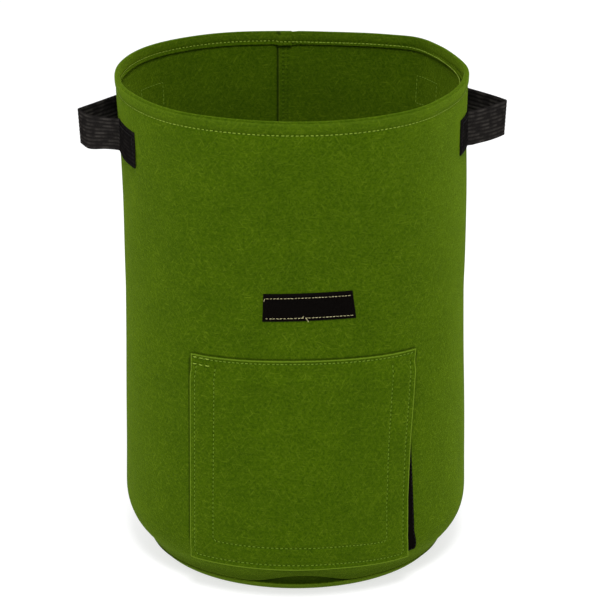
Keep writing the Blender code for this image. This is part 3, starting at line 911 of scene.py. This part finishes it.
def tape(name, arcs, heights, place, foot, rise, pile, pitch):
    """A closure tape: a thin woven ground with its pile of hooks or loops on it."""
    across = np.linspace(*arcs, max(2, round(abs(arcs[1] - arcs[0]) / 0.004)) + 1)
    up = np.linspace(*heights, round((heights[1] - heights[0]) / 0.0012) + 1)
    arc, z = np.meshgrid(across, up)
    outer, inner = place(arc, z, foot + rise * TAPE_BASE), place(arc, z, foot)
    if rise < 0:
        outer, inner = inner, outer
    ground = box_of_sheet(name + "_ground", outer, inner, np.stack([arc, z], axis=-1))
    margin = 0.0016
    cols = np.arange(min(arcs) + margin, max(arcs) - margin, pitch)
    rows = np.arange(min(heights) + margin, max(heights) - margin, pitch)
    a, h = (g.ravel() for g in np.meshgrid(cols, rows))
    a = a + RANDOM.normal(0, 0.15 * pitch, a.shape)
    h = h + RANDOM.normal(0, 0.15 * pitch, h.shape)
    base_points = place(a, h, foot + 0.8 * rise * TAPE_BASE)
    above = place(a, h, foot + rise * 0.003)
    out = above - base_points
    out /= np.linalg.norm(out, axis=1)[:, None]
    beside = place(a + 0.001, h, foot + 0.8 * rise * TAPE_BASE) - base_points
    upward = place(a, h + 0.001, foot + 0.8 * rise * TAPE_BASE) - base_points
    turn = RANDOM.uniform(-0.6, 0.6, a.shape) + np.where(RANDOM.random(a.shape) < 0.5, 0, math.pi)
    lean = beside * np.cos(turn)[:, None] + upward * np.sin(turn)[:, None]
    lean /= np.linalg.norm(lean, axis=1)[:, None]
    height = pile * RANDOM.uniform(0.75, 1.05, a.shape)
    width = RANDOM.uniform(0.00025, 0.0004, a.shape)
    hooks = prongs(name + "_pile", base_points, out, lean, height, width)
    return join(name, [ground, hooks])


HOOK_HALF = 0.111
HOOK_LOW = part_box("hook_tape_bottom")[0][2] - 0.0025
HOOK_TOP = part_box("hook_tape_left")[1][2]
LOOP_HALF, LOOP_LOW = FLAP_HALF - 0.0048, FLAP_LOW + 0.0034


def tape_spans(half, low, high):
    """Arcs and heights of the left, right and bottom tapes of one half of the closure."""
    corner = half - TAPE_WIDTH - GAP
    return {
        "left": ((-half, TAPE_WIDTH - half), (low, high)),
        "right": ((half - TAPE_WIDTH, half), (low, high)),
        "bottom": ((-corner, corner), (low, low + TAPE_WIDTH)),
    }


def hook_place(arc, z, offset):
    """On the bag, the right-hand hook tape drifts outwards on its way down."""
    drift = HOOK_SLANT * (HOOK_TOP - z) / (HOOK_TOP - HOOK_LOW)
    drift = drift + HOOK_FOOT * ease((WINDOW_LOW - z) / 0.024)
    return skin(arc + drift * (arc > HOOK_HALF - 0.03), z, offset)


def loop_place(arc, z, offset):
    """On the flap's inner face, whose offset is 0."""
    return flap_surface(arc, z, FELT - offset)


def closure():
    """The three hook tapes on the bag and the three loop tapes on the flap."""
    made = {"hook": [], "loop": []}
    halves = (("hook", HOOK_HALF, HOOK_LOW, (hook_place, GAP, 1, 0.0007, 0.0016)),
              ("loop", LOOP_HALF, LOOP_LOW, (loop_place, -0.0001, -1, 0.0006, 0.0013)))
    for kind, half, low, how in halves:
        for word, (arcs, heights) in tape_spans(half, low, HOOK_TOP).items():
            strip = tape(kind + "_strip_" + word, arcs, heights, *how)
            made[kind].append(
                finish(strip, kind + "_tape", FINISHES[kind + "_tape"], kind + "_tape_" + word))
    return made


def keeper_place(arc, z, offset):
    """On the side above the window, a little out of level and out of square."""
    up = (z - KEEPER_LOW) / (KEEPER_HIGH - KEEPER_LOW)
    narrowing = np.where(arc > KEEPER_MID, 0.09, 0.025) * up
    arc = KEEPER_MID + (arc - KEEPER_MID) * (1.02 - narrowing)
    return skin(arc, z + KEEPER_TILT * (arc - KEEPER_MID), offset)


def keeper():
    """The strip that holds the flap when it is rolled up."""
    arcs = (KEEPER_MID - KEEPER_HALF, KEEPER_MID + KEEPER_HALF)
    strip = tape("keeper_strip", arcs, (KEEPER_LOW, KEEPER_HIGH), keeper_place, GAP, 1, 0.0008, 0.0012)
    return finish(strip, "hook_tape", FINISHES["hook_tape"], "roll_keeper")


# ------------------------------------------------------------------ webbing handles

# Degrees round from the front, for the left-hand and the right-hand handle
FRONT_END = {-1: (63.4, 80.4), 1: (68.8, 80.4)}
BACK_END = (118.4, 133.0)
FRONT_LIMB = {
    -1: ((80.8, 0.1744), (82.6, 0.1872), (86.4, 0.2030), (92.6, 0.2123)),
    1: ((80.8, 0.1744), (84.9, 0.1868), (88.9, 0.1982), (92.6, 0.2098)),
}
BACK_LIMB = ((98.4, 0.1995), (108.0, 0.1846), (118.0, 0.1744))
RIB_HEIGHT = 0.00022
# How far each handle's lower edge curls up in front, and how much higher one is sewn
CURL = {-1: 0.0040, 1: 0.0010}
STRAP_LIFT = {-1: 0.0, 1: 0.0024}
# Where a loop folds over, from the bag's axis, and how far its edges spread there
STRAP_FOLD_R, STRAP_SPLAY = 0.2125, 0.0011


def polar(angle, radius):
    """A plan point at an angle round from the front."""
    return np.array((radius * math.sin(angle), -radius * math.cos(angle)))


def limb(stations, side):
    """Smooth plan points through a limb's (degrees, radius) stations."""
    return smooth_through([polar(side * math.radians(d), r) for d, r in stations], 12)


def sewn_plan(side, degrees, z):
    """Plan points of a sewn end, lying on the side."""
    arcs = side * np.radians(np.linspace(*degrees, 10)) * PATTERN_R
    return list(skin(arcs, np.full(10, z), GAP + WEBBING / 2)[:, :2])


def resample(path, spacing):
    """Evenly spaced points along a plan path."""
    path = np.array(path)
    run = np.concatenate([[0], np.cumsum(np.linalg.norm(np.diff(path, axis=0), axis=1))])
    at = np.linspace(0, run[-1], round(run[-1] / spacing) + 1)
    return np.stack([np.interp(at, run, path[:, k]) for k in (0, 1)], axis=-1), at


def strap_plan(side):
    """A whole handle seen from above: sewn end, loop out and back, sewn end."""
    shift = np.array((lean(STRAP_MID), 0))
    front = FRONT_LIMB[side]
    loop = [*limb(front, side)[:-1], *limb((front[-1], *BACK_LIMB), side)]
    loop = [p + shift for p in loop]
    start, end = sewn_plan(side, FRONT_END[side], STRAP_MID), sewn_plan(side, BACK_END, STRAP_MID)
    return [*start, *loop[1:-1], *end]


def rib_section(count=8):
    """Across the webbing: (height share, half thickness) from its foot to its top."""
    shares = np.linspace(0, 1, RIBS * count + 1)
    ribs = RIB_HEIGHT * np.abs(np.sin(math.pi * RIBS * shares))
    edge = np.sqrt(np.clip(1 - ((np.abs(shares - 0.5) - 0.5 + 0.02) / 0.02).clip(0)**2, 0.02, 1))
    return shares, (WEBBING / 2 - RIB_HEIGHT + ribs) * edge


def strap_points(side):
    """A handle's surface, round its section by along its length, and its UVs in metres."""
    plan, run = resample(strap_plan(side), 0.0016)
    tangent = np.gradient(plan, axis=0)
    tangent /= np.linalg.norm(tangent, axis=1)[:, None]
    out = np.stack([tangent[:, 1], -tangent[:, 0]], axis=-1) * side
    shares, half = rib_section()
    share = np.concatenate([shares, shares[::-1]])[:, None]
    thick = np.concatenate([half, -half[::-1]])
    sewn = DEGREE * (FRONT_END[side][1] - FRONT_END[side][0])
    curl = CURL[side] * bump(run - sewn - 0.012, 0.020)
    z = STRAP_LOW + STRAP_WIDE * share + curl[None] * (1 - share)
    z = z + STRAP_LIFT[side]
    fold = bump(np.hypot(plan[:, 0], plan[:, 1]) - STRAP_FOLD_R, 0.010)
    splay = STRAP_SPLAY * (2 * share - 1) * fold[None]
    xy = plan[None] * (1 + splay / STRAP_FOLD_R)[..., None] + out[None] * thick[:, None, None]
    u = np.broadcast_to(run - sewn, z.shape)
    v = np.broadcast_to(share * STRAP_WIDE, z.shape)
    return np.concatenate([xy, z[..., None]], axis=-1), np.stack([u, v], axis=-1)


def strap(name, side):
    """One handle's webbing, a single ribbed length."""
    points, flat = strap_points(side)
    rows, columns = points.shape[:2]
    index = np.arange(rows * columns).reshape(rows, columns)
    faces = grid_quads(np.concatenate([index, index[:1]])).reshape(-1, 4).tolist()
    faces.append(index[::-1, 0].tolist())
    faces.append(index[:, -1].tolist())
    return place_object(name, closed_mesh(
        name, points.reshape(-1, 3).tolist(), faces, flat.reshape(-1, 2), outwards=True))


# ------------------------------------------------------------------ stitches


def along_corners(corners, spacing):
    """Points every so often along straight runs between corners, and their number."""
    corners = np.array(corners, float)
    run = np.concatenate([[0], np.cumsum(np.linalg.norm(np.diff(corners, axis=0), axis=1))])
    count = max(1, round(run[-1] / spacing))
    return run, corners, count, run[-1] / count


def row_of_stitches(corners, place, pitch=STITCH_PITCH, share=0.70, radius=THREAD, sunk=0.2):
    """Rings of points for each stitch of a row laid by place(arc, z, offset)."""
    run, corners, count, pitch = along_corners(corners, pitch)
    wander = 0.00012
    middle = (np.arange(count) + 0.5) * pitch + RANDOM.normal(0, 0.04 * pitch, count)
    length = share * pitch * RANDOM.uniform(0.9, 1.08, count)
    slant = RANDOM.normal(0, wander, (count, 2))
    # Each ring's place along the stitch, rise and thickness, as shares
    levels = ((-0.5, -0.9, 0.45), (-0.40, 0.25, 0.95), (-0.15, 0.75, 1.0), (0.15, 0.75, 1.0),
              (0.40, 0.25, 0.95), (0.5, -0.9, 0.45))
    levels = [(t, up - sunk, thick) for t, up, thick in levels]
    rings = []
    for t, up, thick in levels:
        at = middle + t * length
        spot = np.stack([np.interp(at, run, corners[:, k]) for k in (0, 1)], axis=-1)
        spot = spot + slant * (2 * t)
        ahead = np.stack([np.interp(at + 0.0004, run, corners[:, k]) for k in (0, 1)], axis=-1)
        behind = np.stack([np.interp(at - 0.0004, run, corners[:, k]) for k in (0, 1)], axis=-1)
        flow = ahead - behind
        flow /= np.linalg.norm(flow, axis=1)[:, None] + 1e-12
        cross = np.stack([-flow[:, 1], flow[:, 0]], axis=-1)
        for k in range(6):
            turn = math.pi / 3 * k
            swing = cross * (radius * thick * math.cos(turn))
            rise = radius * (up + thick * math.sin(turn))
            rings.append(place(spot[:, 0] + swing[:, 0], spot[:, 1] + swing[:, 1], rise))
    return np.stack(rings, axis=1)


def stitches(name, batches):
    """All the stitches of a piece, each its own small closed body."""
    places, faces, start = [], [], 0
    pattern = [(a * 6 + k, a * 6 + (k + 1) % 6, (a + 1) * 6 + (k + 1) % 6, (a + 1) * 6 + k)
               for a in range(5) for k in range(6)]
    for rings in batches:
        for stitch in rings:
            places.extend(stitch.tolist())
            faces.extend(tuple(start + v for v in quad) for quad in pattern)
            faces.append(tuple(start + v for v in range(5, -1, -1)))
            faces.append(tuple(start + 30 + v for v in range(6)))
            start += 36
    return place_object(name, closed_mesh(name, places, faces, outwards=True))


def on_side(arc, z, offset):
    """On the side's outer face."""
    return skin(arc, z, side_detail(arc, z) + offset)


def under(place, depth):
    """The same rows seen from the other face, that far through the cloth."""
    return lambda arc, z, offset: place(arc, z, -depth - offset)


def on_flap(arc, z, offset):
    """On the flap's outer face."""
    return flap_surface(arc, z, -offset)


def hem_inner(arc, z, offset):
    """On the hem's inner face, which stands further in where the felt is lapped."""
    lump = (LAP_STEP - NESTED / 4) * over_lap(np.where(arc > 0, arc - 2 * BACK, arc))
    return skin(arc, z, 0.0004 - 2 * (FOLD + lump) - offset)


def sew(name, finish_name, node, *batches):
    """Make a row's stitches and let them stand for the CAD's thread."""
    slot = "green_thread" if finish_name == "dull_thread" else finish_name
    return finish(stitches(name, batches), slot, FINISHES[finish_name], node)


def hem_sewing():
    """The hem's row of stitching, outside and in."""
    row = side_rows()[0]
    return [sew("hem_stitches_" + word, "green_thread", "hem_thread_" + word,
                row_of_stitches(row, place, sunk=sunk))
            for word, place, sunk in (("outer", on_side, 0.2), ("inner", hem_inner, 0.4))]


def back_sewing():
    """Two rows down the lap at the back, outside and in."""
    made = []
    for word, shift in BACK_ROWS.items():
        inside = [(BACK - shift, BACK_ROW_LOW), (BACK - shift, BACK_ROW_HIGH)]
        outside = [(-BACK - shift, BACK_ROW_LOW), (-BACK - shift, BACK_ROW_HIGH)]
        made.append(sew("back_stitches_" + word, "dull_thread", "back_seam_thread_" + word,
                        row_of_stitches(inside, under(skin, 2 * FELT + GAP), sunk=0.9),
                        row_of_stitches(outside, on_side)))
    return made


def base_sewing():
    """The bottom seam's row, inside the bag on the turned-in edges."""
    def place(arc, z, offset):
        low = crease_z(arc / PATTERN_R)
        point = skin(arc, low + 0.0002, -0.0006 - z)
        point[..., 2] += FELT + offset
        return point
    ring = [(-BACK, 0.6 * ALLOWANCE), (BACK, 0.6 * ALLOWANCE)]
    return [sew("base_stitches", "dull_thread", "base_seam_thread", row_of_stitches(ring, place))]


def flap_sewing():
    """The flap's two U-shaped rows, on both its faces."""
    made = []
    for word in ("outer", "inner"):
        corners = flap_rows()[word]
        front = row_of_stitches(corners, on_flap, sunk=0.85)
        back = row_of_stitches(corners, under(on_flap, FELT + TAPE_BASE))
        made.append(sew("flap_stitches_" + word, "dull_thread", "flap_" + word + "_thread", front, back))
    return made


def top_sewing():
    """The row that sews the flap's top margin to the bag, with its tack at one end."""
    corners = flap_rows()["top"]
    start = -FLAP_HALF + 0.0015
    tack = [[(start, FLAP_ROW_Z + lift), (start + 0.020, FLAP_ROW_Z + lift)] for lift in (0.0006, -0.0062)]
    rows = [row_of_stitches(line, on_flap, pitch=0.0060, share=0.62, radius=1.5 * THREAD, sunk=0.0)
            for line in tack]
    through = under(skin, FELT)
    tacks = finish(stitches("flap_tack", rows), "green_thread", FINISHES["green_thread"])
    return [tacks, sew("flap_top_stitches", "dull_thread", "flap_top_thread",
                       row_of_stitches(corners, on_flap, sunk=0.4), row_of_stitches(corners, through))]


def hook_sewing():
    """Rows round the hook tapes, through the side."""
    made = []
    for word, inset in (("outer", 0.0015), ("inner", TAPE_WIDTH - 0.0015)):
        half, foot = HOOK_HALF - inset, HOOK_LOW + inset
        corners = [(-half, HOOK_TOP - 0.0015), (-half, foot), (half, foot), (half, HOOK_TOP - 0.0015)]
        face = lambda arc, z, offset: hook_place(arc, z, GAP + TAPE_BASE + offset)
        back = lambda arc, z, offset: hook_place(arc, z, -FELT - offset)
        made.append(sew("hook_stitches_" + word, "black_thread", "hook_thread_" + word,
                        row_of_stitches(corners, face), row_of_stitches(corners, back)))
    return made


# Loose ends of the keeper's thread: arc from its middle, height over its foot, both ends
THREAD_ENDS = (((-0.0455, 0.0236), (-0.0462, 0.0205)), ((-0.0075, 0.0030), (-0.0060, 0.0052)),
               ((-0.0045, 0.0036), (-0.0018, 0.0008)), ((-0.0018, 0.0008), (-0.0012, -0.0010)))


def keeper_sewing():
    """The keeper's two rows of tan thread, with a few loose ends."""
    made = []
    ends = [[(KEEPER_MID + arc, KEEPER_LOW + up) for arc, up in pair] for pair in THREAD_ENDS]
    for word, z in (("top", KEEPER_HIGH - 0.0046), ("bottom", KEEPER_LOW + 0.0032)):
        corners = [(KEEPER_MID - KEEPER_HALF + 0.0025, z), (KEEPER_MID + KEEPER_HALF - 0.0025, z)]
        face = lambda arc, z, offset: keeper_place(arc, z, GAP + TAPE_BASE + 0.0004 + offset)
        back = under(keeper_place, FELT)
        rows = [row_of_stitches(corners, face, 0.0036, 0.74, 0.8 * THREAD),
                row_of_stitches(corners, back, 0.0036)]
        chosen = ends[:1] if word == "top" else ends[1:]
        rows += [row_of_stitches(end, face, 0.0034, 1.05, 0.8 * THREAD) for end in chosen]
        made.append(sew("keeper_stitches_" + word, "tan_thread", "keeper_thread_" + word, *rows))
    return made


def handle_sewing(side, word):
    """A box of stitching through each sewn end of a handle, black outside and green inside."""
    made = []
    for end, degrees in (("front", FRONT_END[side]), ("back", BACK_END)):
        low, high = STRAP_LOW + 0.004 + STRAP_LIFT[side], STRAP_HIGH - 0.004 + STRAP_LIFT[side]
        near, far = (side * math.radians(d) * PATTERN_R for d in degrees)
        near, far = near + side * 0.004, far - side * 0.004
        corners = [(near, low), (far, low), (far, high), (near, high), (near, low)]
        name = "handle_" + word + "_" + end
        face = lambda arc, z, offset: skin(arc, z, GAP + WEBBING + offset - 0.0002)
        back = row_of_stitches(corners, under(skin, FELT), sunk=0.5)
        made.append(sew(name + "_stitches", "black_thread", name + "_end_thread",
                        row_of_stitches(corners, face)))
        made.append(finish(stitches(name + "_bobbin", [back]), "green_thread", FINISHES["dull_thread"]))
    return made


# ------------------------------------------------------------------ studio


LIGHTS = (
    ("key", (-1.2, -2.2, 2.2), (0, 0, 0.25), 1.8, 8),
    ("left", (-2.3, -0.6, 0.32), (0, 0, 0.2), 0.7, 15),
    ("right", (2.3, -0.7, 0.32), (0, 0, 0.2), 0.7, 15),
    ("top", (0.0, -1.6, 2.3), (0, 0.15, 0.42), 0.8, 66),
)
SKY = 0.80
FLOOR_GREY, FLOOR_GLOW = 0.40, 0.66
FLOOR_REACH = 30
CAMERA_PLACE = (-0.15207, -2.99615, 1.3099)
CAMERA_TILT, CAMERA_TURN = 0.338, math.radians(-3)
LENS = 189.73


def area_light(name, place, target, size, power):
    """A square soft light."""
    lamp = bpy.data.lights.new(name, "AREA")
    lamp.shape = "SQUARE"
    lamp.size = size
    lamp.energy = power
    thing = place_object(name, lamp)
    thing.location = place
    thing.rotation_euler = (Vector(target) - Vector(place)).to_track_quat("-Z", "Y").to_euler()


def sky():
    """Soft white light from all round."""
    world = bpy.data.worlds.new("studio")
    world.use_nodes = True
    bpy.context.scene.world = world
    back = world.node_tree.nodes["Background"]
    back.inputs["Color"].default_value = (1, 1, 1, 1)
    back.inputs["Strength"].default_value = SKY


def floor():
    """A grey floor with a glow of its own, which keeps it white and its shadow faint."""
    mesh = bpy.data.meshes.new("floor")
    corners = [(-1, -1), (1, -1), (1, 1), (-1, 1)]
    mesh.from_pydata([(x * FLOOR_REACH, y * FLOOR_REACH, 0) for x, y in corners], [], [(0, 1, 2, 3)])
    ground = place_object("floor", mesh)
    ground.location = (0, 0, -0.0001)
    paint = bpy.data.materials.new("floor")
    paint.use_nodes = True
    shader = paint.node_tree.nodes["Principled BSDF"]
    shader.inputs["Base Color"].default_value = (FLOOR_GREY, FLOOR_GREY, FLOOR_GREY, 1)
    shader.inputs["Roughness"].default_value = 0.9
    shader.inputs["Specular IOR Level"].default_value = 0.1
    shader.inputs["Emission Color"].default_value = (1, 1, 1, 1)
    shader.inputs["Emission Strength"].default_value = FLOOR_GLOW
    mesh.materials.append(paint)


def studio():
    """The light, the floor and the camera."""
    sky()
    for light in LIGHTS:
        area_light(*light)
    floor()
    lens = bpy.data.cameras.new("camera")
    lens.sensor_width = 36
    lens.lens = LENS
    lens.clip_end = 50
    camera = place_object("camera", lens)
    camera.location = CAMERA_PLACE
    camera.rotation_euler = (math.pi / 2 - CAMERA_TILT, 0, CAMERA_TURN)
    bpy.context.scene.camera = camera
    bpy.context.scene.view_settings.view_transform = "Standard"


# ------------------------------------------------------------------ the whole bag

FLAP_BEND = (Vector((0, -PATTERN_R, HINGE_Z)), Vector((0, -PATTERN_R, BEND_LOW + 0.002)))


def bend_with_flap(*things):
    """Bake each piece's transform into its mesh."""
    for thing in things:
        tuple(FLAP_BEND[0])
        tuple(FLAP_BEND[1])
        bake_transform(thing)


def handle(side, word):
    """One handle: its webbing, a loop out from its two sewn ends, and their stitching."""
    name = "handle_" + word
    webbing = strap("handle_strap_" + word, side)
    finish(webbing, "webbing", FINISHES["webbing"], name, name + "_front_end", name + "_back_end")
    joint = next(j for j in frame["joints"] if j["child"] == name)
    hinge = Vector(joint["pos_m"])
    out = Vector(joint["axis"]).cross(Vector((0, 0, 1))).normalized()
    out = out if out.x * side > 0 else -out
    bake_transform(webbing)
    for thing in handle_sewing(side, word):
        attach(thing, "root")


def build():
    """Every piece; all but the flap, its loop tapes and stitches, and the handles' webbing go on the root
    body.
    """
    studio()
    side = finish(side_wall(), "felt", FINISHES["felt"], "side_wall")
    disc = finish(base(), "felt", FINISHES["felt"], "base_disc")
    panel = finish(flap(), "felt", FINISHES["felt"], "window_flap", "flap_top_margin")
    for thing in (side, disc):
        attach(thing, "root")
    tapes = closure()
    flap_stitches = flap_sewing()
    for thing in (*tapes["hook"], keeper(), *hem_sewing(), *back_sewing(), *base_sewing(),
                  *top_sewing(), *hook_sewing(), *keeper_sewing()):
        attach(thing, "root")
    bend_with_flap(panel, *tapes["loop"], *flap_stitches)
    handle(-1, "left")
    handle(1, "right")


build()
